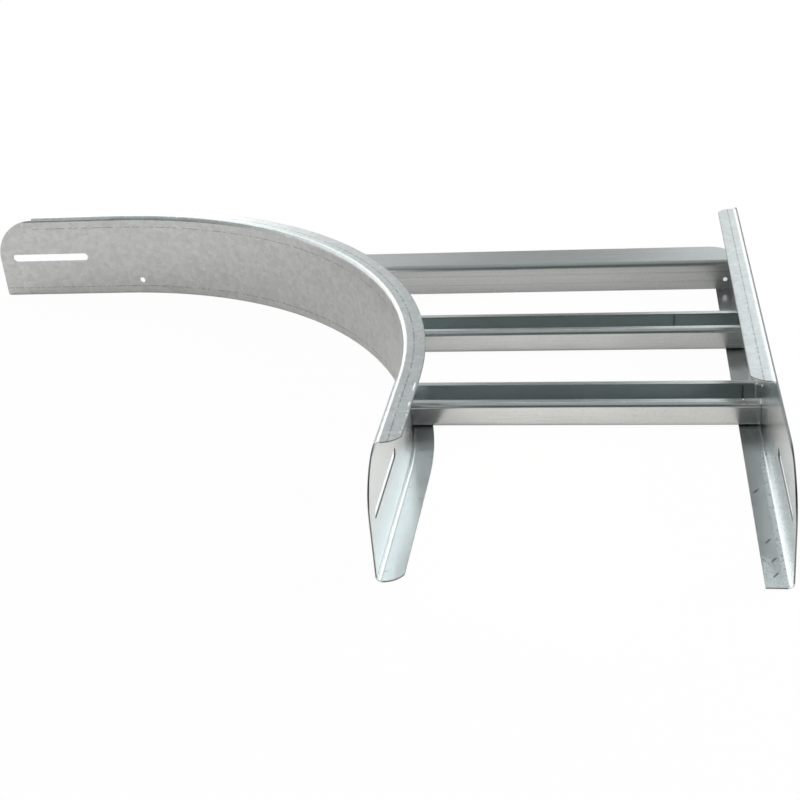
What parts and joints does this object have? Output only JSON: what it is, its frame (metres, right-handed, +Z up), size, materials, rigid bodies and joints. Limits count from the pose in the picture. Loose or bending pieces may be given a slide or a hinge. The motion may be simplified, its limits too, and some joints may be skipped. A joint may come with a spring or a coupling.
{
  "type": "cable ladder tee",
  "caption": "Half branch tee of a galvanised cable ladder: a curved and a straight C-section side rail with nosed, slotted ends, joined by open channel rungs and a rear angle.",
  "frame": {"origin": "middle of the footprint's box, on the plane that the rails stand on", "axes": "+X towards the straight rail, +Y towards the back where the main run passes, +Z up"},
  "size_m": [0.8756, 0.587, 0.1],
  "materials": {
    "rail_zinc": "galvanised sheet, matte to satin with fine spangle",
    "rung_zinc": "galvanised sheet, satin with fine grain"
  },
  "bodies": {
    "root": {"curved_rail": "rail_zinc", "straight_rail": "rail_zinc", "rung_front": "rung_zinc", "rung_middle": "rung_zinc", "rear_angle": "rung_zinc"}
  },
  "joints": []
}
